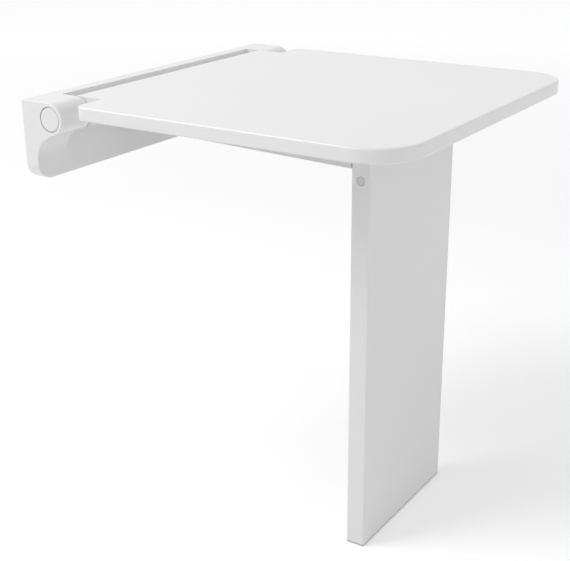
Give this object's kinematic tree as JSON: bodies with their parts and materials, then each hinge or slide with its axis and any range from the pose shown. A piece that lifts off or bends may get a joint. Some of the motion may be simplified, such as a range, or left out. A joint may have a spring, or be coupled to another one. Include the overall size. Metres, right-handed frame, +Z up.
{
  "type": "fold-up shower seat",
  "caption": "Wall-mounted shower seat: flat board with rounded corners on a hinged wall bracket, with one broad flat leg that folds in as the seat is lifted.",
  "frame": {"origin": "centre of the wall-fixing hole pattern, on the wall's face", "axes": "+Y into the wall, square to it; +Z up; +X along the wall, to the right when facing the wall"},
  "size_m": [0.438, 0.4505, 0.5],
  "materials": {
    "white_bracket": "cast aluminium with a smooth white powder coat, satin",
    "white_cap": "white moulded plastic, satin",
    "white_board": "white moulded plastic, satin",
    "white_leg": "extruded aluminium with a white powder coat, satin",
    "white_frame": "folded steel with a white powder coat, satin",
    "steel": "stainless steel",
    "alloy": "turned aluminium",
    "bush_plastic": "natural acetal",
    "foot_plastic": "grey moulded plastic",
    "rubber": "dark grey rubber, matt",
    "sole_rubber": "dark grey rubber, matt",
    "brass": "plain brass"
  },
  "bodies": {
    "bracket": {"wall_bracket": "white_bracket", "fixing_plate": "steel", "bracket_lock_screws": "steel", "hinge_cap_left": "white_cap", "hinge_cap_right": "white_cap", "knuckle_bush_left": "bush_plastic", "knuckle_bush_right": "bush_plastic", "stop_buffers": "rubber"},
    "seat": {"seat_board": "white_board", "under_frame": "white_frame", "cross_member": "white_frame", "hinge_tube": "steel", "hinge_plug_left": "alloy", "hinge_plug_right": "alloy", "hinge_pin_left": "steel", "hinge_pin_right": "steel", "spring_washers_left": "steel", "spring_washers_right": "steel", "tube_lock_screws": "steel", "frame_screws": "steel", "board_inserts": "brass", "fold_buffers": "rubber", "lug_bush_left": "bush_plastic", "lug_bush_right": "bush_plastic"},
    "leg": {"leg_panel": "white_leg", "leg_pin_left": "steel", "leg_pin_right": "steel", "pin_clips": "steel", "leg_top_cap": "white_cap"},
    "foot": {"foot_insert": "foot_plastic", "foot_pad": "sole_rubber", "foot_clamp_screws": "steel", "clamp_inserts": "brass"}
  },
  "joints": [
    {"name": "seat_fold", "type": "hinge", "parent": "bracket", "child": "seat", "pos_m": [0, -0.039, 0.0265], "axis": [-1, 0, 0], "range_deg": [0, 90]},
    {"name": "leg_fold", "type": "hinge", "parent": "seat", "child": "leg", "pos_m": [0, -0.3476, -0.024], "axis": [1, 0, 0], "range_deg": [0, 90]},
    {"name": "foot_height", "type": "slide", "parent": "leg", "child": "foot", "axis": [0, 0, -1], "range_m": [0, 0.02]}
  ],
  "couplings": [
    {"joint": "leg_fold", "follows": "seat_fold", "ratio": 1}
  ]
}
